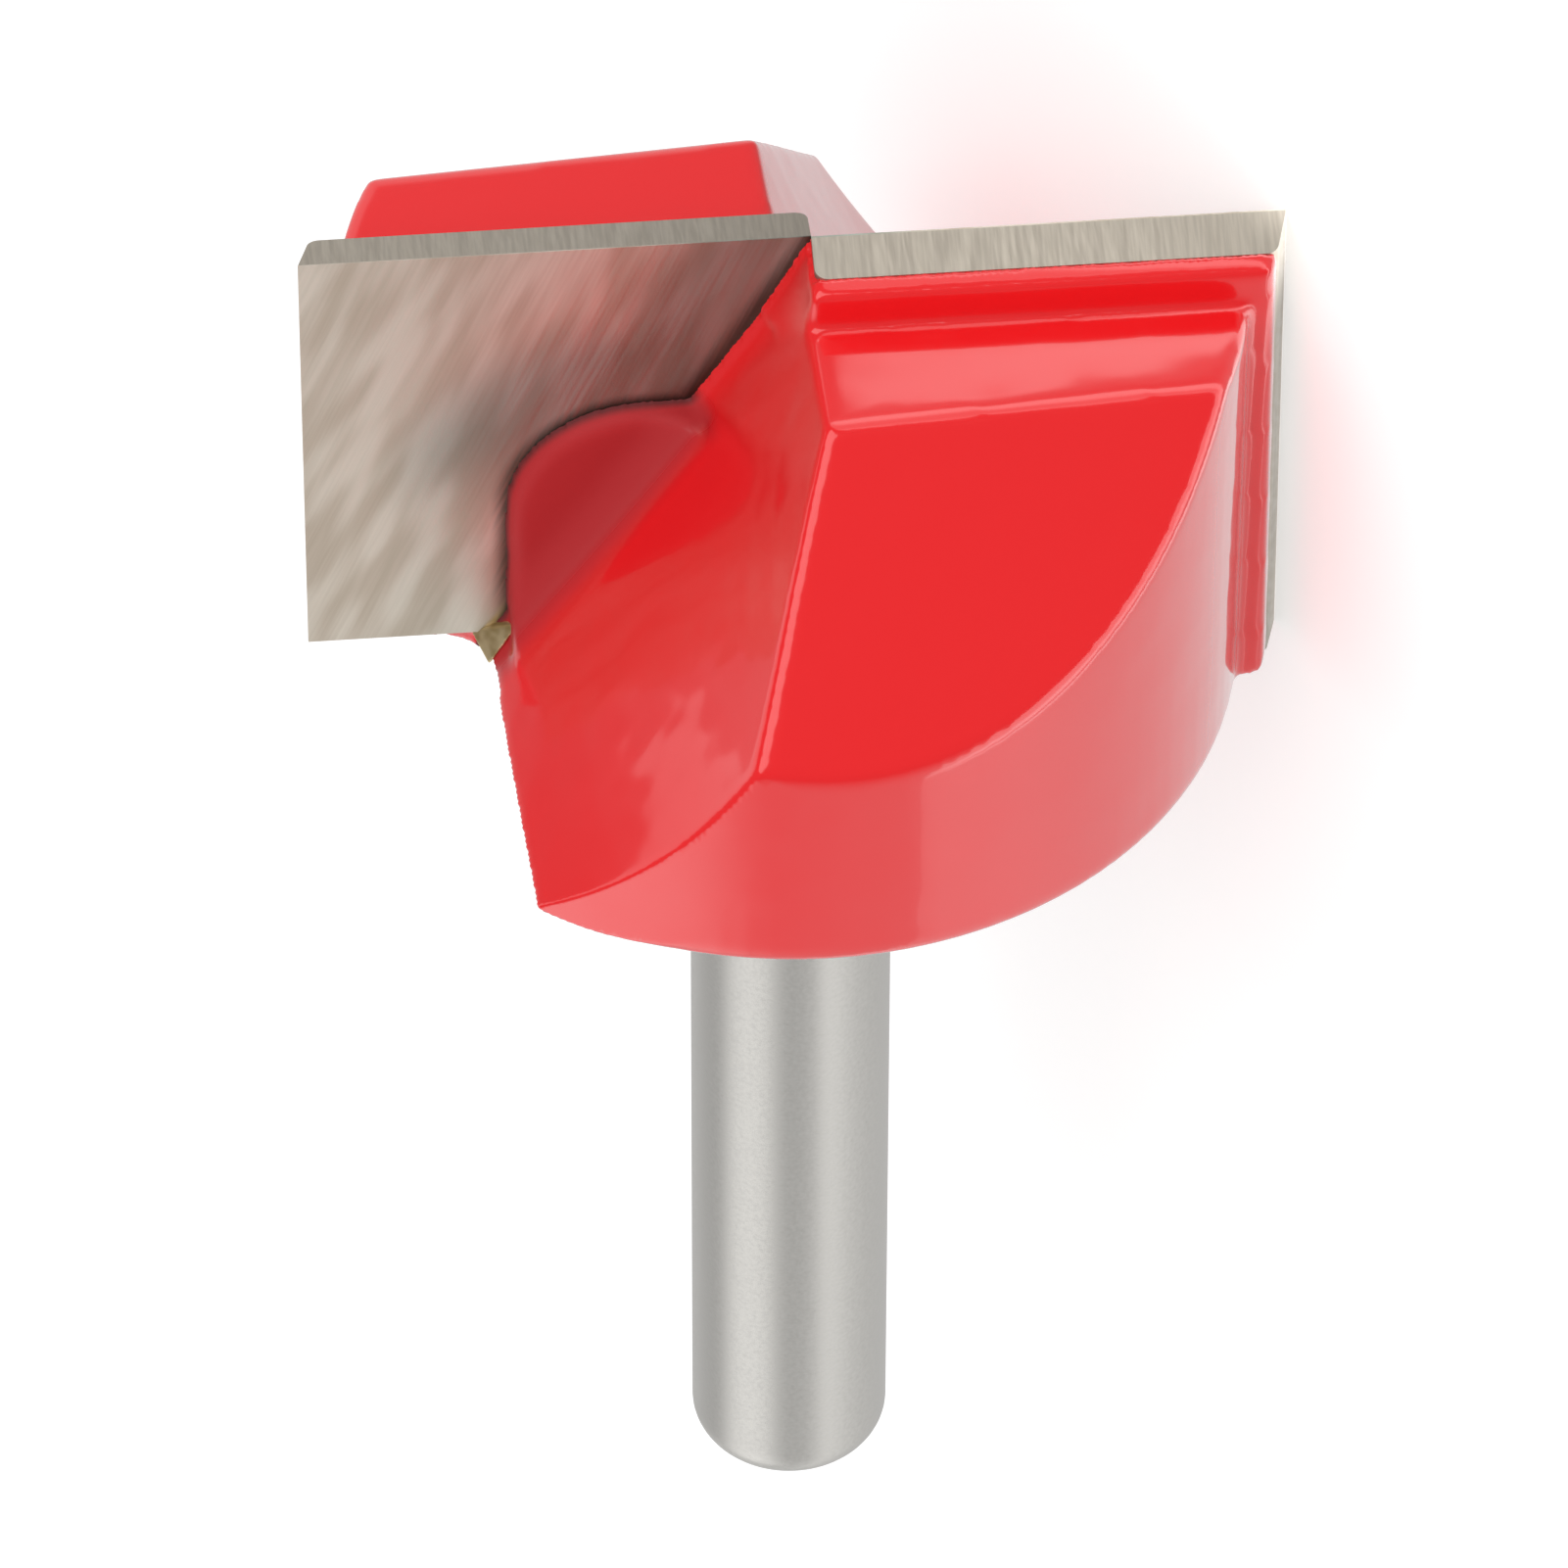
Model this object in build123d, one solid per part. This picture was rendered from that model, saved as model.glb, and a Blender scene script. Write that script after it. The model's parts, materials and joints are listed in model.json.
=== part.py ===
"""Surfacing router bit: a steel body with a plain shank, and two brazed carbide tips.

The bit is modelled in its own frame: Z is its axis, towards the cutting end, and Z = 0 is the head's
underside. Wing A's tip lies along +X and wing B is wing A turned half round. At the end the bit is laid
as it comes to rest: on wing A's outer cutting edge and the heel of wing B, with its shank along +Y.
"""

import math
import os

from build123d import *

# Shank, the part that the collet grips
SHANK_DIAMETER = 6.35
SHANK_LENGTH = 35.4
SHANK_END_RADIUS = 1.2
SHANK_ROOT_RADIUS = 0.5

# Head blank, a turned disc
HEAD_DIAMETER = 27.7
HEAD_HEIGHT = 15.5
HEAD_EDGE_RADIUS = 0.4

# Carbide tips: two rectangular plates, of which tip B runs past the axis and tip A starts beside its end
CUTTING_DIAMETER = 30.0
TIP_PROUD = 1.85
TIP_FOOT = 0.7
TIP_THICKNESS = 1.5
TIP_CORNER_RADIUS = 0.4
CENTRE_REACH = 0.55
AXIAL_RAKE = 2.7
TOP_RELIEF = 17.0
SIDE_RELIEF = 16.0

# Braze between a tip and the steel, with the bead that it leaves at the tip's foot
BRAZE_GAP = 0.1
BEAD_RADIUS = 0.4
BEAD_RISE = 0.8

# Rib left proud of the blank behind each tip; behind tip B it stays lower
RIB_DEPTH = 0.5
RIB_FOOT = 0.3
RIB_CORNER_RADIUS = 0.4
RIB_DROP = 0.45

# Gullet in front of each tip: a leaning wall, straight beside the tip and hollow towards the rim
WALL_FOOT = 9.45
WALL_TOP = -0.2
FRONT_FOOT = 8.73
FRONT_TOP = -0.63
HOLLOW_RADIUS = 31.8
FRONT_SECTION = 14.4
GULLET_BACK = 0.65
COVE_RADIUS = 1.75

# Steel left around tip A's inner end: its free side leans beside tip B's face and is steep behind tip A
WEB_FRONT = 0.3
WEB_END = 1.3
WEB_TOP = 0.25
WEB_FOOT = -3.15
LEANING_SIDE = (-0.99, 0.8)
STEEP_SIDE = (0.15, 0.61)

# Lobe of steel left in front of each tip's lower inner corner
LOBE_REACH = 8.72
LOBE_HEIGHT = 10.45
LOBE_THICKNESS = 0.55
LOBE_CORNER_RADIUS = 4.2
LOBE_EDGE_RADIUS = 0.4

# Steep back of each wing, behind its flat top
LAND_DEPTH = 6.57
LAND_TURN = 4.0
BACK_SLOPE = 46.5

HEAD_RADIUS = HEAD_DIAMETER / 2
CUTTING_RADIUS = CUTTING_DIAMETER / 2
CUTTING_HEIGHT = HEAD_HEIGHT + TIP_PROUD
TIP_HEIGHT = CUTTING_HEIGHT - TIP_FOOT
RIB_BACK = TIP_THICKNESS + BRAZE_GAP + RIB_DEPTH
SHANK_RADIUS = SHANK_DIAMETER / 2
CLEAR = 2 * CUTTING_DIAMETER  # how far a cutter's shape runs on past the steel
PAST = 1.0  # how far a gullet's sections run past the head's two ends
NEAR = 1e-4  # how closely a face or an edge is picked out by its place
EDGE_STEPS = 16  # how finely the heel is searched for the point that the bit rests on


def opposite(shape):
    """The same shape on wing B."""
    return shape.rotate(Axis.Z, 180)


def both(shape):
    """The shape on both wings."""
    return [shape, opposite(shape)]


def on_tip(shape):
    """Places a shape of wing A's tip frame: X outward, Y out of the cutting face, Z = 0 at the edge."""
    return Location((0, 0, CUTTING_HEIGHT), (-AXIAL_RAKE, 0, 0)) * shape


def section(points, start, depth):
    """Prism along X, of a section given as (Y, Z) points."""
    face = Plane.YZ.offset(start) * make_face(Polyline(*points, close=True))
    return extrude(face, depth, dir=(1, 0, 0))


def plate(inner, front, back, foot):
    """Plate behind the cutting face, its top and outer side relieved from the two cutting edges."""
    top = math.tan(math.radians(TOP_RELIEF))
    side = math.tan(math.radians(SIDE_RELIEF))
    plan = Polyline(
        (inner, -front),
        (CUTTING_RADIUS - front * side, -front),
        (CUTTING_RADIUS - back * side, -back),
        (inner, -back),
        close=True,
    )
    upright = extrude(Pos(0, 0, -foot) * make_face(plan), foot, dir=(0, 0, 1))
    outline = [(-front, -front * top), (-back, -back * top), (-back, -foot), (-front, -foot)]
    return upright & section(outline, inner, CUTTING_RADIUS - inner)


def carbide_tip(inner):
    """Carbide plate with its cutting edges along the top and the outer side."""
    tip = plate(inner, 0, TIP_THICKNESS, TIP_HEIGHT)
    back_corners = tip.edges().filter_by(Axis.Z).group_by(Axis.Y)[0]
    return on_tip(fillet(back_corners, TIP_CORNER_RADIUS))


def tip_slot(inner):
    """Room for a tip and the braze behind, under and beside it."""
    return on_tip(plate(inner - BRAZE_GAP, 0, TIP_THICKNESS + BRAZE_GAP, TIP_HEIGHT + BRAZE_GAP))


def backing_rib(drop):
    """Rib behind a tip, relieved as it is but lower by a drop, with its outer foot corner rounded off."""
    rib = plate(CENTRE_REACH - BRAZE_GAP, TIP_THICKNESS, RIB_BACK, CUTTING_HEIGHT - RIB_FOOT - drop)
    foot_corner = rib.edges().group_by(Axis.Z)[0].sort_by(Axis.X)[-1]
    return on_tip(Pos(0, 0, -drop) * fillet([foot_corner], RIB_CORNER_RADIUS))


def centre_web():
    """Steel beside and behind tip A's inner end, in front of the end of tip B that runs past the axis."""

    def outline(y, side):
        foot_x, top_x = side
        return Wire.make_polygon(
            [(foot_x, y, WEB_FOOT), (top_x, y, WEB_TOP), (WEB_END, y, WEB_TOP), (WEB_END, y, WEB_FOOT)]
        )

    wedge = Solid.make_loft([outline(WEB_FRONT, LEANING_SIDE), outline(-RIB_BACK, STEEP_SIDE)], ruled=True)
    inner_end = Plane.YZ.offset(CENTRE_REACH - BRAZE_GAP)
    beside = split(plate(-CENTRE_REACH * 2, -WEB_FRONT, RIB_BACK, -WEB_FOOT), bisect_by=inner_end, keep=Keep.BOTTOM)
    return on_tip(wedge) & (on_tip(beside) + backing_rib(0))


def edges_of_circle(solid, radius, height):
    """Circular edges about the bit's axis with this radius and height."""
    circles = solid.edges().filter_by(GeomType.CIRCLE)
    return [e for e in circles if abs(e.radius - radius) < NEAR and abs(e.center().Z - height) < NEAR]


def turned_blank():
    """Shank and head as they come off the lathe."""
    shank = Pos(0, 0, -SHANK_LENGTH) * Cylinder(
        SHANK_RADIUS, SHANK_LENGTH, align=(Align.CENTER, Align.CENTER, Align.MIN)
    )
    head = Cylinder(HEAD_RADIUS, HEAD_HEIGHT, align=(Align.CENTER, Align.CENTER, Align.MIN))
    blank = shank + head
    blank = fillet(edges_of_circle(blank, SHANK_RADIUS, -SHANK_LENGTH), SHANK_END_RADIUS)
    blank = fillet(edges_of_circle(blank, SHANK_RADIUS, 0), SHANK_ROOT_RADIUS)
    return fillet(edges_of_circle(blank, HEAD_RADIUS, 0), HEAD_EDGE_RADIUS)


def hollow_circle():
    """Centre (X, height) of the gullet wall's hollow section: through its foot and its top."""
    run = FRONT_TOP - FRONT_FOOT
    chord = math.hypot(run, HEAD_HEIGHT)
    lift = math.sqrt(HOLLOW_RADIUS**2 - (chord / 2) ** 2)
    middle_x = (FRONT_FOOT + FRONT_TOP) / 2
    return middle_x + HEAD_HEIGHT / chord * lift, HEAD_HEIGHT / 2 - run / chord * lift


def wall_x(height):
    """Where the gullet's wall is beside the tip, at a height above the head's underside."""
    return WALL_FOOT + (WALL_TOP - WALL_FOOT) * height / HEAD_HEIGHT


def gullet(start=-GULLET_BACK):
    """Cutter of the gullet in a tip's frame: a ruled wall from a straight section to a hollow one.

    It starts this far out of the cutting face, where a cove joins its back to its wall.
    """
    low, high = -PAST, CUTTING_HEIGHT + PAST
    centre_x, centre_height = hollow_circle()

    def straight(height):
        return Vector(wall_x(height), -GULLET_BACK, height - CUTTING_HEIGHT)

    def hollow(height):
        reach = math.sqrt(HOLLOW_RADIUS**2 - (height - centre_height) ** 2)
        return Vector(centre_x - reach, FRONT_SECTION, height - CUTTING_HEIGHT)

    def wire(wall, edge):
        far_low = Vector(CLEAR, wall(low).Y, wall(low).Z)
        far_high = Vector(CLEAR, wall(low).Y, wall(high).Z)
        return Wire([edge, Line(wall(high), far_high), Line(far_high, far_low), Line(far_low, wall(low))])

    beside_tip = wire(straight, Line(straight(low), straight(high)))
    at_rim = wire(hollow, ThreePointArc(hollow(low), hollow((low + high) / 2), hollow(high)))
    cutter = Solid.make_loft([beside_tip, at_rim], ruled=True)
    if start > -GULLET_BACK:
        cutter = split(cutter, bisect_by=Plane.XZ.offset(-start), keep=Keep.BOTTOM).solid()
    cove = cutter.faces().sort_by(Axis.Y)[0].edges().sort_by(Axis.X)[0]
    return cutter.fillet(COVE_RADIUS, [cove])


def lobe():
    """Steel left in front of tip A, which runs into the gullet's wall in a cove of its own."""
    outline = Rectangle(LOBE_REACH, LOBE_HEIGHT, align=Align.MIN)
    corner = outline.vertices().sort_by(Axis.X)[-2:].sort_by(Axis.Y)[-1]
    outline = fillet([corner], LOBE_CORNER_RADIUS)
    block = Pos(0, 0, -CUTTING_HEIGHT) * extrude(Plane.XZ * outline, LOBE_REACH, dir=(0, 1, 0))
    shape = block - gullet(LOBE_THICKNESS)
    rim = [e for e in shape.edges().filter_by(GeomType.CIRCLE) if abs(e.center().Y - LOBE_THICKNESS) < NEAR]
    return on_tip(fillet(rim, LOBE_EDGE_RADIUS))


def steep_back():
    """Cutter of wing A's back: a plane that falls away behind the head's flat top."""
    fall = CLEAR * math.tan(math.radians(BACK_SLOPE))
    wedge = section(
        [
            (-LAND_DEPTH, HEAD_HEIGHT),
            (-LAND_DEPTH - CLEAR, HEAD_HEIGHT - fall),
            (-LAND_DEPTH - CLEAR, HEAD_HEIGHT + CLEAR),
            (-LAND_DEPTH, HEAD_HEIGHT + CLEAR),
        ],
        -CLEAR,
        2 * CLEAR,
    )
    return wedge.rotate(Axis.Z, LAND_TURN)


def milled_body():
    """Steel body before its slots are cut."""
    body = turned_blank() + backing_rib(0) + opposite(backing_rib(RIB_DROP))
    body -= both(on_tip(gullet()))
    inside = Cylinder(HEAD_RADIUS, HEAD_HEIGHT, align=(Align.CENTER, Align.CENTER, Align.MIN))
    body += both(lobe() & inside)
    body += centre_web()
    return body - both(steep_back())


def bead():
    """Braze bead that runs up wing A's tip from its foot, in the corner with the gullet."""
    middle = Vector(wall_x(TIP_FOOT), 0, -TIP_HEIGHT)
    half = Vector(-BEAD_RISE / 2, 0, BEAD_RISE / 2)
    along = Plane(origin=middle, z_dir=half)
    return on_tip(along * Cylinder(BEAD_RADIUS, 2 * half.length))


def resting_plane(steel):
    """Floor that swings about tip A's outer cutting edge until it meets the heel of wing B."""
    corner = Vector(CUTTING_RADIUS, 0, CUTTING_HEIGHT)
    foot = Vector(on_tip(Vertex(CUTTING_RADIUS, 0, -TIP_HEIGHT)))
    edge = (foot - corner).normalized()
    sideways = Vector(1, 0, 0).cross(edge).normalized()
    outward = edge.cross(sideways)

    def swing(point):
        reach = point - corner
        return math.atan2(reach.dot(outward), reach.dot(sideways))

    outline = [edge @ (step / EDGE_STEPS) for edge in steel.edges() for step in range(EDGE_STEPS + 1)]
    meets = max(swing(point) for point in outline if point.Y > TIP_THICKNESS)
    down = outward * math.cos(meets) - sideways * math.sin(meets)
    along_shank = Vector(0, 0, -1)
    return Plane(origin=(0, 0, 0), x_dir=down.cross(along_shank), z_dir=down * -1)


milled = milled_body()
slot_a = tip_slot(CENTRE_REACH)
slot_b = opposite(tip_slot(-CENTRE_REACH))
tip_a = carbide_tip(CENTRE_REACH)
tip_b = opposite(carbide_tip(-CENTRE_REACH))
body = milled - slot_a - slot_b
pieces = {
    "cutter_body": body,
    "carbide_tip_a": tip_a,
    "carbide_tip_b": tip_b,
    "braze_seam_a": (slot_a & milled) + (bead() - milled) - tip_a,
    "braze_seam_b": (slot_b & milled) + (opposite(bead()) - milled) - tip_b,
}

# Lay the bit down and centre it over its origin, which lies on the floor
laid = resting_plane(body).location.inverse()
box = Compound([piece.moved(laid) for piece in pieces.values()]).bounding_box()
to_floor = Pos(-box.center().X, -box.center().Y, -box.min.Z)
os.makedirs("parts", exist_ok=True)
for name, piece in pieces.items():
    export_step(to_floor * piece.moved(laid), f"parts/{name}.step")
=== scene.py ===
"""Surfacing router bit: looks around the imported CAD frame, in metres."""

import json
import math

import bmesh
import bpy
import numpy as np
from mathutils import Matrix, Vector


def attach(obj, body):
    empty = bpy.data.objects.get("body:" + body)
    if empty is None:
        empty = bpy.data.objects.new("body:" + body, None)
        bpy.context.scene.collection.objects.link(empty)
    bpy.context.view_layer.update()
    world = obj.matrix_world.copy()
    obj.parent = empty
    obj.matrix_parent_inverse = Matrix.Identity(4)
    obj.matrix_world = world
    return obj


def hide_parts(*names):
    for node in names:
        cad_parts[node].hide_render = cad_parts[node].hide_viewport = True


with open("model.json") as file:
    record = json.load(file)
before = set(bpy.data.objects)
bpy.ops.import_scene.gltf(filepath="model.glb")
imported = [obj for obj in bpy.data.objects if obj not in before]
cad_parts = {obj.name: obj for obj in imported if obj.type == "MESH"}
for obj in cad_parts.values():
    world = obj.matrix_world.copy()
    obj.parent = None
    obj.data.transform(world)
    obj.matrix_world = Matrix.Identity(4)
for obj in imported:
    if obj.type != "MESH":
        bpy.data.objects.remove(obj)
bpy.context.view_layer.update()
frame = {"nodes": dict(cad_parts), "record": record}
MM = 0.001

# The bit's own axes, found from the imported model. It lies on the floor, so they are turned from the
# row's: Z runs along the shank towards the cutting end, X points to wing A's outer corner, and Z = 0 is
# the underside of the head.
CUTTING_RADIUS = 15.0 * MM
CUTTING_HEIGHT = 17.35 * MM
SHANK_RADIUS = 3.175 * MM
SHANK_LENGTH = 35.4 * MM


def points_of(mesh):
    """All vertices of a mesh as an array of rows."""
    flat = np.empty(3 * len(mesh.vertices))
    mesh.vertices.foreach_get("co", flat)
    return flat.reshape(-1, 3)


def outer_corner(name):
    """The vertex of a tip that lies farthest out and farthest along the cutting direction."""
    points = points_of(frame["nodes"][name].data)
    height = (points - mount_point) @ cutting_way
    radius = np.linalg.norm(points - mount_point - np.outer(height, cutting_way), axis=1)
    return points[np.argmax(height + radius)]


mount = frame["record"]["mounts"][0]
mount_point = np.array(mount["pos_m"])
cutting_way = -np.array(mount["axis"])
corner_a = outer_corner("carbide_tip_a")
corner_b = outer_corner("carbide_tip_b")
bit_x = (corner_a - corner_b) / np.linalg.norm(corner_a - corner_b)
bit_y = np.cross(cutting_way, bit_x)
bit_axes = np.stack([bit_x, bit_y, cutting_way], axis=1)
bit_origin = (corner_a + corner_b) / 2 - CUTTING_HEIGHT * cutting_way


def to_row(points):
    """Points of the bit's own frame, as rows, carried into the row's frame."""
    return np.asarray(points) @ bit_axes.T + bit_origin


# Camera at the photograph's viewing angle: above the cutting end at 45 degrees to the bit's axis, which
# stands upright in the picture although the bit lies on its side.
CAMERA_ELEVATION = math.radians(45.01)
CAMERA_TURN = math.radians(5.15)
CAMERA_ROLL = math.radians(0.17)
CAMERA_DISTANCE = 421.6 * MM
CAMERA_AIM = np.array([-0.85, -6.96, 0.99]) * MM
LENS_PER_WIDTH = 8.7551
SENSOR_WIDTH = 36.0
CLIP_START = 10 * MM

backward = np.array([
    -math.sin(CAMERA_TURN) * math.cos(CAMERA_ELEVATION),
    -math.cos(CAMERA_TURN) * math.cos(CAMERA_ELEVATION),
    math.sin(CAMERA_ELEVATION),
])
level = np.array([math.cos(CAMERA_TURN), -math.sin(CAMERA_TURN), 0.0])
upright = np.cross(backward, level)
right = math.cos(CAMERA_ROLL) * level + math.sin(CAMERA_ROLL) * upright
up = np.cross(backward, right)
camera_axes = Matrix((bit_axes @ np.stack([right, up, backward], axis=1)).tolist())
eye = Vector(to_row(CAMERA_AIM + CAMERA_DISTANCE * backward))
camera_data = bpy.data.cameras.new("camera")
camera_data.sensor_width = SENSOR_WIDTH
camera_data.lens = LENS_PER_WIDTH * SENSOR_WIDTH
camera_data.clip_start = CLIP_START
camera = bpy.data.objects.new("camera", camera_data)
camera.matrix_world = Matrix.LocRotScale(eye, camera_axes.to_quaternion(), None)
bpy.context.scene.collection.objects.link(camera)
bpy.context.scene.camera = camera
bpy.context.scene.view_settings.view_transform = "Standard"


# Studio: a wide pale floor that the bit lies on, a pale surround and a large soft lamp. Camera rays see
# the surround white, and the floor near white with the bit's shadow on it. In reflections the surround
# falls off towards the front and overhead, with a soft lamp above the shank and a panel beside the head,
# and the floor has a lamp's pool of light in front of the cutting end, with a dark gap across it.
FLOOR_REACH = 3.0
FLOOR_COLOUR = "#E8E8E8"
FLOOR_LIFT = 0.46
SURROUND_LIGHT = 0.9
SHANK_LAMP = 1.15
PANEL_LIGHT = 0.7
POOL_WAY = (-0.69, -0.73, 0.0)
POOL_SIDE = (0.73, -0.69, 0.0)
POOL_EDGE = (4.0 * MM, -38.0 * MM, 0.0)
FLOOR_SHADE = -0.45
STRIP_LIGHT = 1.6
POOL_LIGHT = 1.6
POOL_FADE = -1.0
KEY_LAMP_WAY = Vector((-0.15, -0.75, 0.64)).normalized()
KEY_LAMP_DISTANCE = 0.6
KEY_LAMP_SIZE = 0.55
KEY_LAMP_POWER = 1.3


def linear(colour):
    """Turns an sRGB hex colour into linear RGBA."""
    values = np.array([int(colour[i:i + 2], 16) for i in (1, 3, 5)]) / 255
    low = values / 12.92
    high = ((values + 0.055) / 1.055) ** 2.4
    return (*np.where(values <= 0.04045, low, high), 1.0)


def add(nodes, kind, sockets=None, **settings):
    """Adds a node with its settings. A socket takes a value, an output, or a node for its first output."""
    made = nodes.new(kind)
    for name, value in settings.items():
        setattr(made, name, value)
    for name, value in (sockets or {}).items():
        if isinstance(value, bpy.types.Node):
            value = next(output for output in value.outputs if output.enabled)
        if isinstance(value, bpy.types.NodeSocket):
            nodes.id_data.links.new(made.inputs[name], value)
        else:
            made.inputs[name].default_value = value
    return made


def clear_nodes(owner):
    """Switches a material or world to nodes and empties its tree."""
    owner.use_nodes = True
    owner.node_tree.nodes.clear()
    return owner.node_tree.nodes


def add_object(name, mesh, material):
    """Links a new object with one material."""
    made = bpy.data.objects.new(name, mesh)
    made.data.materials.append(material)
    bpy.context.scene.collection.objects.link(made)
    return made


world = bpy.data.worlds.new("surround")
bpy.context.scene.world = world
nodes = clear_nodes(world)
path = add(nodes, "ShaderNodeLightPath").outputs
direction = add(nodes, "ShaderNodeTexCoord").outputs["Generated"]
# Each light steps from one level to another as a direction points farther along the light's way.
lights = {}
for light, way, start, end, low, high, step in (
    ("surround", (0.0, 0.8, -0.6), -0.15, 0.45, 0.2, 0.95, "LINEAR"),
    ("shank_lamp", (-0.08, 0.74, 0.66), 0.86, 0.99, 0.0, SHANK_LAMP, "SMOOTHSTEP"),
    ("panel_side", (1.0, 0.0, 0.0), 0.7, 0.8, 0.0, PANEL_LIGHT, "SMOOTHSTEP"),
    ("panel_foot", (0.0, 0.105, 1.0), 0.413, 0.42, 0.0, 1.0, "SMOOTHSTEP"),
    ("panel_end", (0.0, 1.0, 2.3), 0.99, 1.04, 0.0, 1.0, "SMOOTHSTEP"),
):
    lights[light] = add(
        nodes,
        "ShaderNodeMapRange",
        {
            "Value": add(nodes, "ShaderNodeVectorMath", {0: direction, 1: way}, operation="DOT_PRODUCT"),
            "From Min": start,
            "From Max": end,
            "To Min": low,
            "To Max": high,
        },
        interpolation_type=step,
    )
panel = add(nodes, "ShaderNodeMath", {0: lights["panel_foot"], 1: lights["panel_end"]}, operation="MULTIPLY")
lamps = add(
    nodes,
    "ShaderNodeMath",
    {0: lights["panel_side"], 1: panel, 2: lights["shank_lamp"]},
    operation="MULTIPLY_ADD",
)
mirrored = add(nodes, "ShaderNodeMath", {0: lights["surround"], 1: lamps}, operation="ADD")
lit = add(nodes, "ShaderNodeMix", {"Factor": path["Is Glossy Ray"], "A": SURROUND_LIGHT, "B": mirrored})
shown = add(nodes, "ShaderNodeMix", {"Factor": path["Is Camera Ray"], "A": lit, "B": 1.0})
sky = add(nodes, "ShaderNodeBackground", {"Strength": shown})
add(nodes, "ShaderNodeOutputWorld", {"Surface": sky})

floor_paint = bpy.data.materials.new("floor_matt_white")
nodes = clear_nodes(floor_paint)
path = add(nodes, "ShaderNodeLightPath").outputs
paint = add(nodes, "ShaderNodeBsdfDiffuse", {"Color": linear(FLOOR_COLOUR)})
lift = add(nodes, "ShaderNodeMath", {0: path["Is Camera Ray"], 1: FLOOR_LIFT}, operation="MULTIPLY")
veil = add(nodes, "ShaderNodeEmission", {"Strength": lift})
plain = add(nodes, "ShaderNodeAddShader", {0: paint, 1: veil})
place = add(nodes, "ShaderNodeTexCoord").outputs["Object"]
from_edge = add(nodes, "ShaderNodeVectorMath", {0: place, 1: POOL_EDGE}, operation="SUBTRACT")
ahead = add(nodes, "ShaderNodeVectorMath", {0: from_edge, 1: POOL_WAY}, operation="DOT_PRODUCT")
across = add(nodes, "ShaderNodeVectorMath", {0: from_edge, 1: POOL_SIDE}, operation="DOT_PRODUCT")
rightward = add(nodes, "ShaderNodeSeparateXYZ", {0: place}).outputs["X"]
# Each patch of the floor steps from one brightness to another between two distances in mm.
patches = {}
for patch, distance, start, end, low, high in (
    ("paler_left", rightward, -45.0, 5.0, 1.2, 0.75),
    ("shade_front", ahead, -18.0, -12.0, 0.0, 1.0),
    ("shade_side", across, -22.0, -8.0, 0.0, FLOOR_SHADE),
    ("strip_start", ahead, -3.0, -0.5, 0.0, STRIP_LIGHT),
    ("strip_end", ahead, 0.6, 1.1, 0.0, -STRIP_LIGHT),
    ("strip_side", across, 15.0, 19.0, 1.0, 0.0),
    ("pool_start", ahead, 4.5, 6.0, 0.0, POOL_LIGHT),
    ("pool_fade", ahead, 12.0, 26.0, 0.0, POOL_FADE),
):
    patches[patch] = add(
        nodes,
        "ShaderNodeMapRange",
        {"Value": distance, "From Min": start * MM, "From Max": end * MM, "To Min": low, "To Max": high},
        interpolation_type="SMOOTHSTEP",
    )
shaded = add(
    nodes,
    "ShaderNodeMath",
    {0: patches["shade_front"], 1: patches["shade_side"], 2: patches["paler_left"]},
    operation="MULTIPLY_ADD",
)
strip = add(
    nodes, "ShaderNodeMath", {0: patches["strip_start"], 1: patches["strip_end"]}, operation="ADD"
)
pool = add(nodes, "ShaderNodeMath", {0: patches["pool_start"], 1: patches["pool_fade"]}, operation="ADD")
bright = add(
    nodes, "ShaderNodeMath", {0: strip, 1: patches["strip_side"], 2: pool}, operation="MULTIPLY_ADD"
)
level_seen = add(nodes, "ShaderNodeMath", {0: shaded, 1: bright}, operation="ADD")
mirrored = add(nodes, "ShaderNodeEmission", {"Strength": level_seen})
both = add(nodes, "ShaderNodeMixShader", {0: path["Is Glossy Ray"], 1: plain, 2: mirrored})
add(nodes, "ShaderNodeOutputMaterial", {"Surface": both})
floor_corners = [(x * FLOOR_REACH, y * FLOOR_REACH, 0.0) for x, y in ((-1, -1), (1, -1), (1, 1), (-1, 1))]
floor_mesh = bpy.data.meshes.new("floor")
floor_mesh.from_pydata(floor_corners, [], [(0, 1, 2, 3)])
add_object("floor", floor_mesh, floor_paint)

lamp_data = bpy.data.lights.new("key_lamp", "AREA")
lamp_data.size = KEY_LAMP_SIZE
lamp_data.energy = KEY_LAMP_POWER
lamp_place = Vector(bit_origin) + KEY_LAMP_DISTANCE * KEY_LAMP_WAY
key_lamp = bpy.data.objects.new("key_lamp", lamp_data)
key_lamp.matrix_world = Matrix.LocRotScale(lamp_place, KEY_LAMP_WAY.to_track_quat("Z", "Y"), None)
bpy.context.scene.collection.objects.link(key_lamp)


# Enamelled head: the milled steel under a thick coat of glossy red enamel, sprayed on and baked before
# the tips were ground bare. The coat rounds every edge, pools in the corners, runs over the braze and up
# to the carbide, and ends at the root of the shank.
AXIAL_RAKE = math.radians(2.7)
TIP_THICKNESS = 1.5 * MM
TIP_FOOT = 0.7 * MM
TIP_INNER = {"a": 0.55 * MM, "b": -0.55 * MM}
SIDE_RELIEF = math.tan(math.radians(16.0))
TOP_RELIEF = math.tan(math.radians(17.0))
HEAD_RADIUS = 13.85 * MM
HEAD_HEIGHT = 15.5 * MM
WALL_RUN = 14.4 * MM
WALL_LEAN = 0.62
WALL_HOLLOW = 0.48
HOLLOW_LOSS = 0.84
WALL_RISE = 0.6
WALL_EASE = (4.2 * MM, 8.2 * MM)
ENAMEL_END = -0.35 * MM
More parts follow.
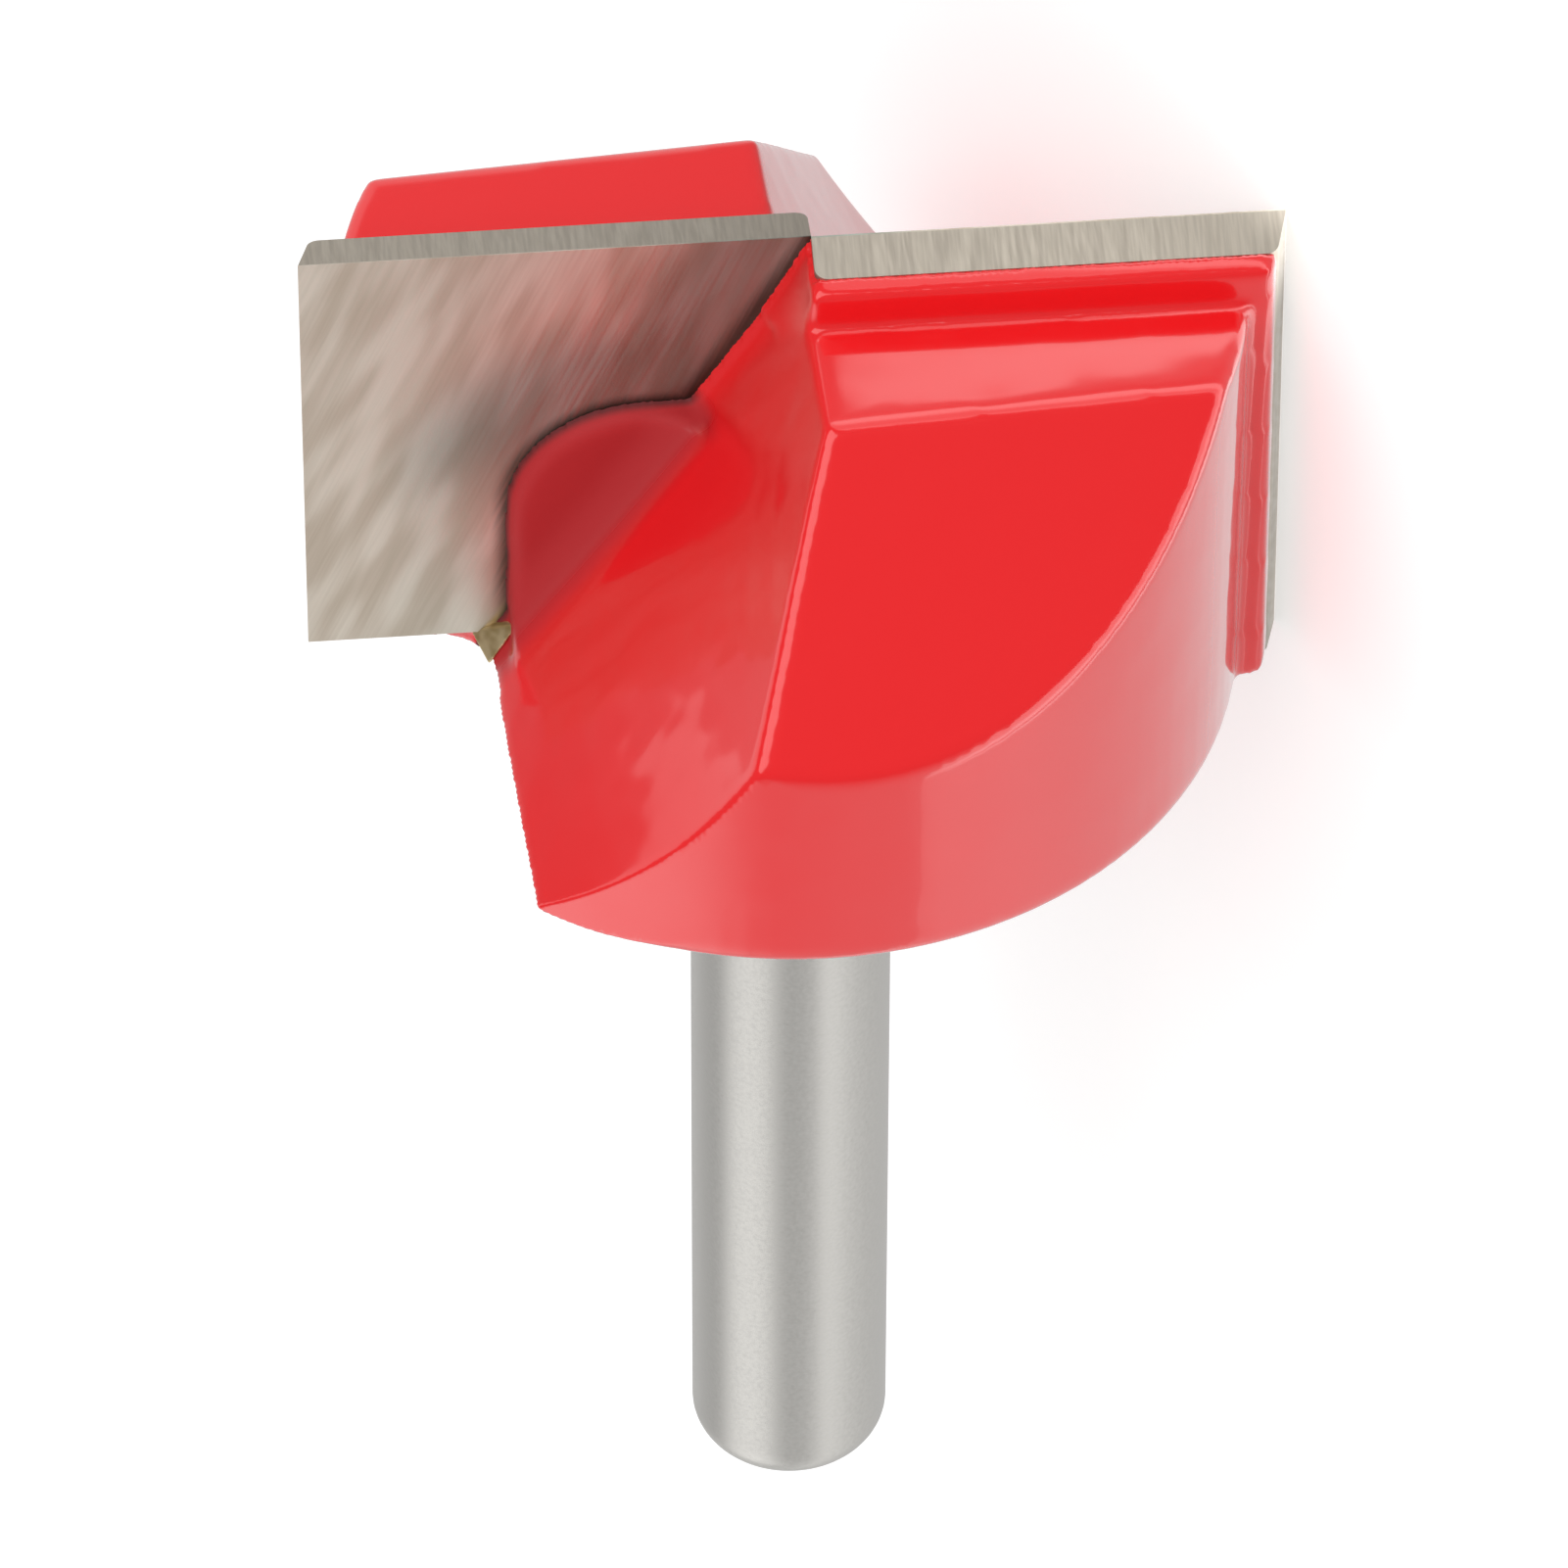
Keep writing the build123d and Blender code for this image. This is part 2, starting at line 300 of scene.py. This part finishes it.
ENAMEL_VOXEL = 0.11 * MM
ENAMEL_ROUNDING = 28
ENAMEL_LEVELLING = 5
ENAMEL_EDGE_LOSS = 0.3 * MM
ENAMEL_FOOT_LOSS = 0.03 * MM
ENAMEL_FOOT = (0.6 * MM, 2.0 * MM)
ENAMEL_THINNING = 0.36
ENAMEL_OVER_CARBIDE = 0.1 * MM
WELD = 0.001 * MM
SMOOTHING = 0.5
ENAMEL_RED = "#F7171D"
# Painted shade: the deeper red below darkens the corner in front of the tips.
ENAMEL_PAINTED_SHADE = "#BE161E"
# Painted shadow: the dark red below draws a shadow line along the enamel's rim at the carbide.
ENAMEL_RIM_SHADOW = "#70191B"
RIPPLES_PER_MM = 0.38
RIPPLE_HEIGHT = 0.05 * MM
LOBE_MIDDLE = 5.2 * MM


def tip_axes(wing):
    """Row-frame axes of a tip as columns: outward, out of its cutting face, and up to its edge."""
    turn = 1.0 if wing == "a" else -1.0
    local = np.array([
        [turn, 0.0, 0.0],
        [0.0, turn * math.cos(AXIAL_RAKE), turn * math.sin(AXIAL_RAKE)],
        [0.0, -math.sin(AXIAL_RAKE), math.cos(AXIAL_RAKE)],
    ])
    return bit_axes @ local


def tip_origin():
    """Row-frame point on the bit's axis at the height of the cutting edges."""
    return to_row([0.0, 0.0, CUTTING_HEIGHT])


def joined(nodes_of_bit):
    """All nodes as one mesh of closed shells, without the shank and without the braze's beads."""
    shape = bmesh.new()
    for node in nodes_of_bit:
        part = bmesh.new()
        part.from_mesh(frame["nodes"][node].data)
        bmesh.ops.remove_doubles(part, verts=part.verts, dist=WELD)
        if node == "cutter_body":
            place, outward = to_row([0, 0, ENAMEL_END]), -cutting_way
        else:
            place, outward = tip_origin(), tip_axes(node[-1])[:, 1]
        if not node.startswith("carbide"):
            cut = bmesh.ops.bisect_plane(
                part,
                geom=[*part.verts, *part.edges, *part.faces],
                plane_co=place,
                plane_no=outward,
                clear_outer=True,
            )
            rim = [piece for piece in cut["geom_cut"] if isinstance(piece, bmesh.types.BMEdge)]
            bmesh.ops.triangle_fill(part, edges=rim, use_beauty=True)
            bmesh.ops.recalc_face_normals(part, faces=part.faces)
        loose = bpy.data.meshes.new(node)
        part.to_mesh(loose)
        part.free()
        shape.from_mesh(loose)
        bpy.data.meshes.remove(loose)
    mesh = bpy.data.meshes.new("joined")
    shape.to_mesh(mesh)
    shape.free()
    return mesh


def finished(mesh, modifiers):
    """The mesh after a list of (kind, settings) modifiers, as a new mesh."""
    holder = bpy.data.objects.new("holder", mesh)
    bpy.context.scene.collection.objects.link(holder)
    for kind, settings in modifiers:
        modifier = holder.modifiers.new(kind, kind)
        for setting, value in settings.items():
            setattr(modifier, setting, value)
    evaluated = holder.evaluated_get(bpy.context.evaluated_depsgraph_get())
    made = bpy.data.meshes.new_from_object(evaluated)
    bpy.data.objects.remove(holder)
    bpy.data.meshes.remove(mesh)
    return made


def eased(values, start, end):
    """Smooth step of values from 0 to 1: with t the way from start to end, 3t^2 - 2t^3."""
    t = np.clip((values - start) / (end - start), 0, 1)
    return t * t * (3 - 2 * t)


def wall_squared(points):
    """Sets wing B's gullet wall where the cutter runs it, square to the bit and not to the raked tip.

    The shift along X is the rake's tangent times the distance in front of the tip and the wall's lean,
    which is one figure plus a hollow that grows ahead and shrinks with height. It eases off into the
    head, and nothing leaves the head's cylinder. Wing A's wall rests on the floor as it is.
    """
    local = (points - bit_origin) @ bit_axes
    limit = np.maximum(np.linalg.norm(local[:, :2], axis=1, keepdims=True), HEAD_RADIUS)
    ahead = np.maximum(-local[:, 1], 0)
    height = local[:, 2]
    lean = WALL_LEAN + ahead / WALL_RUN * (WALL_HOLLOW - HOLLOW_LOSS * height / HEAD_HEIGHT)
    share = eased(WALL_RISE * height - local[:, 0], *WALL_EASE)
    local[:, 0] -= math.tan(AXIAL_RAKE) * ahead * lean * share
    radius = np.linalg.norm(local[:, :2], axis=1, keepdims=True)
    local[:, :2] *= np.minimum(1, limit / np.maximum(radius, WELD))
    return local @ bit_axes.T + bit_origin


def sunk_under_carbide(points, wing):
    """Moves the points that lie on a tip's bare faces to just under them, so that the carbide shows.

    In the tip's frame, a point within a small reach of the plate, and in front of its back, goes inside
    the plate by that reach.
    """
    axes = tip_axes(wing)
    local = (points - tip_origin()) @ axes
    depth = np.clip(-local[:, 1], 0, TIP_THICKNESS)
    high = np.stack(
        [CUTTING_RADIUS - depth * SIDE_RELIEF, np.zeros_like(depth), -depth * TOP_RELIEF], axis=1
    )
    low = np.empty_like(high)
    low[:] = [TIP_INNER[wing], -TIP_THICKNESS, TIP_FOOT - CUTTING_HEIGHT]
    reach_back = ENAMEL_OVER_CARBIDE * np.array([1.0, 0.0, 1.0])
    near = np.all((local > low - reach_back) & (local < high + ENAMEL_OVER_CARBIDE), axis=1)
    inside = np.minimum(np.maximum(local, low + ENAMEL_OVER_CARBIDE), high - ENAMEL_OVER_CARBIDE)
    local[near] = inside[near]
    return local @ axes.T + tip_origin()


# The coat is rounded by smoothing. What that takes off an edge is held to the edge loss, by a hyperbolic
# tangent of its length, and to less at the head's foot. What it fills in a corner stays.
coat = finished(
    joined(["cutter_body", "carbide_tip_a", "carbide_tip_b", "braze_seam_a", "braze_seam_b"]),
    [("REMESH", {"mode": "VOXEL", "voxel_size": ENAMEL_VOXEL})],
)
milled = points_of(coat)
coat = finished(coat, [("SMOOTH", {"factor": SMOOTHING, "iterations": ENAMEL_ROUNDING})])
moved = points_of(coat) - milled
outward = np.empty(milled.size)
coat.vertex_normals.foreach_get("vector", outward)
depth = np.sum(moved * outward.reshape(-1, 3), axis=1, keepdims=True)
length = np.maximum(np.linalg.norm(moved, axis=1, keepdims=True), WELD)
foot = eased((milled - bit_origin) @ cutting_way, *ENAMEL_FOOT)[:, None]
most = ENAMEL_FOOT_LOSS + (ENAMEL_EDGE_LOSS - ENAMEL_FOOT_LOSS) * foot
kept = most * np.tanh(length / most) / length
coat.vertices.foreach_set("co", (milled + np.where(depth < 0, moved * kept, moved)).ravel())
coat = finished(coat, [("SMOOTH", {"factor": SMOOTHING, "iterations": ENAMEL_LEVELLING})])
surface = wall_squared(points_of(coat))
for wing in ("a", "b"):
    surface = sunk_under_carbide(surface, wing)
coat.vertices.foreach_set("co", surface.ravel())
coat = finished(coat, [("DECIMATE", {"ratio": ENAMEL_THINNING})])
coat.name = "head_enamel"
coat.shade_smooth()

# The gloss is a hard clear skin over the red. Its ripple bends what it mirrors; in front of the tips a
# deeper red is painted shade in the corner, and at the carbide the enamel was scuffed dull by the grinding
# wheel, with a painted shadow line along its edge.
enamel = bpy.data.materials.new("red_baked_enamel")
nodes = clear_nodes(enamel)
place = add(nodes, "ShaderNodeTexCoord").outputs["Object"]
flow = add(nodes, "ShaderNodeTexNoise", {"Vector": place, "Scale": RIPPLES_PER_MM / MM, "Detail": 1.0})
ripple = add(nodes, "ShaderNodeBump", {"Strength": 0.65, "Distance": RIPPLE_HEIGHT, "Height": flow})
on_bit = add(
    nodes,
    "ShaderNodeMapping",
    {"Vector": place, "Location": bit_origin, "Rotation": Matrix(bit_axes.tolist()).to_euler()},
    vector_type="TEXTURE",
)
spot = add(nodes, "ShaderNodeSeparateXYZ", {0: on_bit}).outputs
# The distance out of the nearer tip's face is sign(x) y cos(rake) + (cutting height - z) sin(rake).
side = add(nodes, "ShaderNodeMath", {0: spot["X"]}, operation="SIGN")
turned = add(nodes, "ShaderNodeMath", {0: side, 1: spot["Y"]}, operation="MULTIPLY")
raked = add(
    nodes,
    "ShaderNodeMath",
    {0: spot["Z"], 1: -math.sin(AXIAL_RAKE), 2: CUTTING_HEIGHT * math.sin(AXIAL_RAKE)},
    operation="MULTIPLY_ADD",
)
from_face = add(
    nodes, "ShaderNodeMath", {0: turned, 1: math.cos(AXIAL_RAKE), 2: raked}, operation="MULTIPLY_ADD"
)
above = add(nodes, "ShaderNodeMath", {0: spot["Z"], 1: LOBE_MIDDLE}, operation="SUBTRACT")
from_middle = add(nodes, "ShaderNodeMath", {0: above}, operation="ABSOLUTE")
# Each mark steps from one strength to another between two distances in mm.
marks = {}
for mark, distance, start, end, low, high in (
    ("in_front", from_face, -0.1, 0.0, 0.0, 1.0),
    ("at_lobe", from_middle, 5.3, 6.0, 1.0, 0.0),
    # Painted shade: a deeper red from the tip's face out to about 2 mm, near the lobe.
    ("painted_shade", from_face, 0.9, 2.3, 1.0, 0.0),
    ("scuffed", from_face, 0.8, 1.5, 1.0, 0.0),
    # Painted shadow: a dark line along the enamel's edge at the carbide.
    ("rim_shadow", from_face, 0.05, 0.32, 1.0, 0.0),
):
    marks[mark] = add(
        nodes,
        "ShaderNodeMapRange",
        {"Value": distance, "From Min": start * MM, "From Max": end * MM, "To Min": low, "To Max": high},
        interpolation_type="SMOOTHSTEP",
    )
near_tip = add(nodes, "ShaderNodeMath", {0: marks["in_front"], 1: marks["at_lobe"]}, operation="MULTIPLY")
for mark in ("painted_shade", "scuffed", "rim_shadow"):
    marks[mark] = add(nodes, "ShaderNodeMath", {0: near_tip, 1: marks[mark]}, operation="MULTIPLY")
# The red is darkened by painted shade in front of the tips and by a painted shadow line at the carbide.
red = linear(ENAMEL_RED)
for mark, colour in (("painted_shade", ENAMEL_PAINTED_SHADE), ("rim_shadow", ENAMEL_RIM_SHADOW)):
    red = add(
        nodes,
        "ShaderNodeMix",
        {"Factor": marks[mark], "A": red, "B": linear(colour)},
        data_type="RGBA",
    )
dull = add(
    nodes,
    "ShaderNodeMapRange",
    {"Value": marks["scuffed"], "To Min": 0.2, "To Max": 0.7},
    interpolation_type="SMOOTHSTEP",
)
clear_skin = add(nodes, "ShaderNodeMath", {0: 1.0, 1: marks["scuffed"]}, operation="SUBTRACT")
gloss = add(
    nodes,
    "ShaderNodeBsdfPrincipled",
    {
        "Base Color": red,
        "Roughness": dull,
        "IOR": 1.55,
        "Coat Weight": clear_skin,
        "Coat IOR": 1.5,
        "Coat Roughness": 0.05,
        "Normal": ripple,
        "Coat Normal": ripple,
    },
)
add(nodes, "ShaderNodeOutputMaterial", {"Surface": gloss})

head = add_object("head_enamel", coat, enamel)
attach(head, "root")
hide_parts("cutter_body")


# Shank: centreless-ground tool steel, bare, with a rounded free end. It is one piece of steel with the
# head and starts inside it.
SHANK_START = 0.5 * MM
SHANK_END_RADIUS = 1.2 * MM
SHANK_TURNS = 160
SHANK_RINGS = 90
END_STEPS = 12
STEEL_DARK = "#BAB8B3"
STEEL_LIGHT = "#D2D0CC"
GRAINS_PER_MM = 7.0


def revolved(name, radii, heights, turns):
    """Surface of revolution: at each angle, the profile (radius, height) is turned about the bit's Z."""
    angles = np.linspace(0, 2 * math.pi, turns, endpoint=False)
    rings = np.stack(
        [
            np.outer(radii, np.cos(angles)),
            np.outer(radii, np.sin(angles)),
            np.repeat(heights[:, None], turns, axis=1),
        ],
        axis=2,
    )
    count = len(radii)
    here = np.arange(count - 1)[:, None] * turns + np.arange(turns)
    beside = np.arange(count - 1)[:, None] * turns + (np.arange(turns) + 1) % turns
    faces = np.stack([here, here + turns, beside + turns, beside], axis=2).reshape(-1, 4)
    first = list(range(turns))
    last = [(count - 1) * turns + i for i in reversed(range(turns))]
    mesh = bpy.data.meshes.new(name)
    mesh.from_pydata(to_row(rings.reshape(-1, 3)).tolist(), [], [*faces.tolist(), first, last])
    mesh.shade_smooth()
    return mesh


# Grinding leaves the steel satin, with soft bands of light along it and a fine grain. The real grain is
# too fine to show, so it is drawn coarser, at seven to the millimetre.
ground_steel = bpy.data.materials.new("ground_tool_steel")
nodes = clear_nodes(ground_steel)
place = add(nodes, "ShaderNodeTexCoord").outputs["Object"]
grit = add(nodes, "ShaderNodeTexNoise", {"Vector": place, "Scale": GRAINS_PER_MM / MM, "Detail": 1.0})
tone = add(
    nodes,
    "ShaderNodeMix",
    {"Factor": grit, "A": linear(STEEL_DARK), "B": linear(STEEL_LIGHT)},
    data_type="RGBA",
)
satin = add(
    nodes,
    "ShaderNodeMapRange",
    {"Value": grit, "To Min": 0.26, "To Max": 0.46},
    interpolation_type="SMOOTHSTEP",
)
steel = add(nodes, "ShaderNodeBsdfPrincipled", {"Base Color": tone, "Metallic": 1.0, "Roughness": satin})
add(nodes, "ShaderNodeOutputMaterial", {"Surface": steel})

straight = np.linspace(SHANK_START, -SHANK_LENGTH + SHANK_END_RADIUS, SHANK_RINGS)
turn = np.linspace(0, math.pi / 2, END_STEPS)[1:]
round_radii = SHANK_RADIUS - SHANK_END_RADIUS + SHANK_END_RADIUS * np.cos(turn)
round_heights = -SHANK_LENGTH + SHANK_END_RADIUS - SHANK_END_RADIUS * np.sin(turn)
shank_radii = np.concatenate([np.full(SHANK_RINGS, SHANK_RADIUS), round_radii])
shank_heights = np.concatenate([straight, round_heights])
shank_mesh = revolved("shank", shank_radii, shank_heights, SHANK_TURNS)
shank = add_object("shank", shank_mesh, ground_steel)
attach(shank, "root")
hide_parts("cutter_body")


# Carbide tips: pressed and sintered tungsten carbide plates, brazed in and then ground. The wheel leaves
# slanting streaks on the cutting face and short ones across the reliefs. Near the enamel above the lobe the
# face is greyed darker as painted shade, and along the enamel's edge it is dark, partly the flux's stain and
# partly painted shade beside the lobe.
STREAK_SLANT = math.radians(68.0)
FACE_DARK = "#CDBFAD"
FACE_LIGHT = "#EFE6D8"
RELIEF_DARK = "#B6ADA0"
RELIEF_LIGHT = "#C5BCAE"
# Painted shade: the grey below darkens the face near the enamel, above the lobe.
SHADE_GREY_NEAR_ENAMEL = "#C6DADC"
# The dark brown below is partly the flux's stain and partly painted shade beside the lobe.
FLUX_STAIN_AND_SHADE = "#4B4034"
LOBE_CENTRE = (4.52 * MM, 0.0, -11.1 * MM)
LOBE_RADIUS = 4.2 * MM
WEB_SIDE = (0.875, 0.0, 0.4845)
WEB_OFFSET = 0.56 * MM

across_streaks = np.array([
    [math.sin(STREAK_SLANT), 0.0, -math.cos(STREAK_SLANT)],
    [0.0, 1.0, 0.0],
    [math.cos(STREAK_SLANT), 0.0, math.sin(STREAK_SLANT)],
])
for wing in ("a", "b"):
    carbide = bpy.data.materials.new(f"ground_tungsten_carbide_{wing}")
    nodes = clear_nodes(carbide)
    place = add(nodes, "ShaderNodeTexCoord").outputs["Object"]
    plate_axes = tip_axes(wing)
    slanted = plate_axes @ across_streaks
    # Each pattern is a noise stretched along a tip's turned axes, by its sizes across and along in mm.
    patterns = {}
    for pattern, axes, size, detail in (
        ("fine", slanted, (0.13, 1.0, 4.0), 2.0),
        ("broad", slanted, (1.1, 3.0, 5.0), 1.0),
        ("notches", plate_axes, (0.12, 2.0, 4.0), 2.0),
    ):
        stretched = add(
            nodes,
            "ShaderNodeMapping",
            {
                "Vector": place,
                "Location": tip_origin(),
                "Rotation": Matrix(axes.tolist()).to_euler(),
                "Scale": np.array(size) * MM,
            },
            vector_type="TEXTURE",
        )
        patterns[pattern] = add(
            nodes, "ShaderNodeTexNoise", {"Vector": stretched, "Scale": 1.0, "Detail": detail}
        )
    on_plate = add(
        nodes,
        "ShaderNodeMapping",
        {"Vector": place, "Location": tip_origin(), "Rotation": Matrix(plate_axes.tolist()).to_euler()},
        vector_type="TEXTURE",
    )
    spot = add(nodes, "ShaderNodeSeparateXYZ", {0: on_plate}).outputs
    # The enamel's edge is the nearer of the lobe, a quarter round and two straights, and the web's side.
    from_lobe = add(nodes, "ShaderNodeVectorMath", {0: on_plate, 1: LOBE_CENTRE}, operation="SUBTRACT")
    beyond = add(nodes, "ShaderNodeVectorMath", {0: from_lobe}, operation="MAXIMUM")
    flat = add(nodes, "ShaderNodeVectorMath", {0: beyond, 1: (1.0, 0.0, 1.0)}, operation="MULTIPLY")
    reach = add(nodes, "ShaderNodeVectorMath", {0: flat}, operation="LENGTH")
    off_lobe = add(nodes, "ShaderNodeMath", {0: reach, 1: LOBE_RADIUS}, operation="SUBTRACT")
    along_web = add(nodes, "ShaderNodeVectorMath", {0: on_plate, 1: WEB_SIDE}, operation="DOT_PRODUCT")
    off_web = add(nodes, "ShaderNodeMath", {0: along_web, 1: WEB_OFFSET}, operation="ADD")
    off_enamel = add(nodes, "ShaderNodeMath", {0: off_lobe, 1: off_web}, operation="MINIMUM")
    # Each mask steps from one level to another, between two noise levels or two distances.
    masks = {}
    for mask, value, start, end, low, high in (
        ("on_face", spot["Y"], -0.06 * MM, -0.03 * MM, 0.0, 1.0),
        ("fine_worn", patterns["fine"], 0.3, 0.7, 0.0, 0.3),
        ("broad_worn", patterns["broad"], 0.35, 0.65, 0.0, 0.7),
        ("notched", patterns["notches"], 0.3, 0.7, 0.0, 1.0),
        ("near_enamel", off_enamel, 2.0 * MM, 4.8 * MM, 1.0, 0.0),
        ("above_lobe", spot["Z"], -12.0 * MM, -7.5 * MM, 0.15, 1.0),
        ("smear", patterns["fine"], 0.3, 0.7, -0.03 * MM, 0.07 * MM),
        ("rough", patterns["fine"], 0.3, 0.7, 0.38, 0.5),
    ):
        masks[mask] = add(
            nodes,
            "ShaderNodeMapRange",
            {"Value": value, "From Min": start, "From Max": end, "To Min": low, "To Max": high},
            interpolation_type="SMOOTHSTEP",
        )
    smeared = add(nodes, "ShaderNodeMath", {0: off_enamel, 1: masks["smear"]}, operation="SUBTRACT")
    # Dark along the enamel's edge: partly the flux's stain, partly painted shade beside the lobe.
    stain_and_shade_fade = add(
        nodes,
        "ShaderNodeMapRange",
        {"Value": smeared, "From Min": 0.0, "From Max": 0.6 * MM, "To Min": 0.85, "To Max": 0.0},
        interpolation_type="SMOOTHSTEP",
    )
    worn = add(
        nodes, "ShaderNodeMath", {0: masks["fine_worn"], 1: masks["broad_worn"]}, operation="ADD"
    )
    # Painted shade: the face is greyed darker near the enamel, above the lobe.
    shaded_near_enamel = add(
        nodes, "ShaderNodeMath", {0: masks["near_enamel"], 1: masks["above_lobe"]}, operation="MULTIPLY"
    )
    stain_and_shade = add(nodes, "ShaderNodeMath", {0: masks["on_face"], 1: stain_and_shade_fade}, operation="MULTIPLY")
    face = add(
        nodes,
        "ShaderNodeMix",
        {"Factor": worn, "A": linear(FACE_DARK), "B": linear(FACE_LIGHT)},
        data_type="RGBA",
    )
    greyed = add(
        nodes,
        "ShaderNodeMix",
        {"Factor": shaded_near_enamel, "A": face, "B": linear(SHADE_GREY_NEAR_ENAMEL)},
        data_type="RGBA",
        blend_type="MULTIPLY",
    )
    relief = add(
        nodes,
        "ShaderNodeMix",
        {"Factor": masks["notched"], "A": linear(RELIEF_DARK), "B": linear(RELIEF_LIGHT)},
        data_type="RGBA",
    )
    ground = add(
        nodes, "ShaderNodeMix", {"Factor": masks["on_face"], "A": relief, "B": greyed}, data_type="RGBA"
    )
    colour = add(
        nodes, "ShaderNodeMix", {"Factor": stain_and_shade, "A": ground, "B": linear(FLUX_STAIN_AND_SHADE)}, data_type="RGBA"
    )
    plate = add(
        nodes,
        "ShaderNodeBsdfPrincipled",
        {"Base Color": colour, "Metallic": 1.0, "Roughness": masks["rough"]},
    )
    add(nodes, "ShaderNodeOutputMaterial", {"Surface": plate})
    tip = frame["nodes"][f"carbide_tip_{wing}"]
    tip.data.materials.clear()
    tip.data.materials.append(carbide)


# Braze: the film of silver-brass solder lies hidden under the enamel, and shows only as a golden bead
# that closes the corner between a tip's foot and the gullet's wall. Its corners are in the tip's frame,
# in mm.
BEAD_CORNERS = [
    (9.95, -0.2, -16.75), (9.55, 0.08, -16.6), (8.5, 0.72, -15.65), (9.45, 0.8, -17.33),
    (9.4, -0.5, -17.3), (8.5, -0.5, -17.2), (8.45, 0.2, -15.8), (8.5, -0.4, -16.3),
]
BEAD_VOXEL = 0.05 * MM
BEAD_ROUNDING = 6
BRAZE_DARK = "#CBAE78"
BRAZE_LIGHT = "#F8E2B4"
SPOTS_PER_MM = 1.8

# Cooled solder is dull gold, with paler and darker spots where it tarnished.
braze = bpy.data.materials.new("silver_brass_braze")
nodes = clear_nodes(braze)
place = add(nodes, "ShaderNodeTexCoord").outputs["Object"]
tarnish = add(nodes, "ShaderNodeTexNoise", {"Vector": place, "Scale": SPOTS_PER_MM / MM, "Detail": 1.0})
spotted = add(
    nodes,
    "ShaderNodeMapRange",
    {"Value": tarnish, "From Min": 0.35, "From Max": 0.65},
    interpolation_type="SMOOTHSTEP",
)
gold = add(
    nodes,
    "ShaderNodeMix",
    {"Factor": spotted, "A": linear(BRAZE_DARK), "B": linear(BRAZE_LIGHT)},
    data_type="RGBA",
)
metal = add(nodes, "ShaderNodeBsdfPrincipled", {"Base Color": gold, "Metallic": 1.0, "Roughness": 0.5})
add(nodes, "ShaderNodeOutputMaterial", {"Surface": metal})

for wing in ("a", "b"):
    lump = bmesh.new()
    for corner in np.array(BEAD_CORNERS) * MM @ tip_axes(wing).T + tip_origin():
        lump.verts.new(corner)
    bmesh.ops.convex_hull(lump, input=lump.verts)
    mesh = bpy.data.meshes.new(f"braze_bead_{wing}")
    lump.to_mesh(mesh)
    lump.free()
    mesh = finished(
        mesh,
        [
            ("REMESH", {"mode": "VOXEL", "voxel_size": BEAD_VOXEL}),
            ("SMOOTH", {"factor": SMOOTHING, "iterations": BEAD_ROUNDING}),
        ],
    )
    mesh.name = f"braze_bead_{wing}"
    mesh.shade_smooth()
    bead = add_object(f"braze_bead_{wing}", mesh, braze)
    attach(bead, "root")
    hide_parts(f"braze_seam_{wing}")
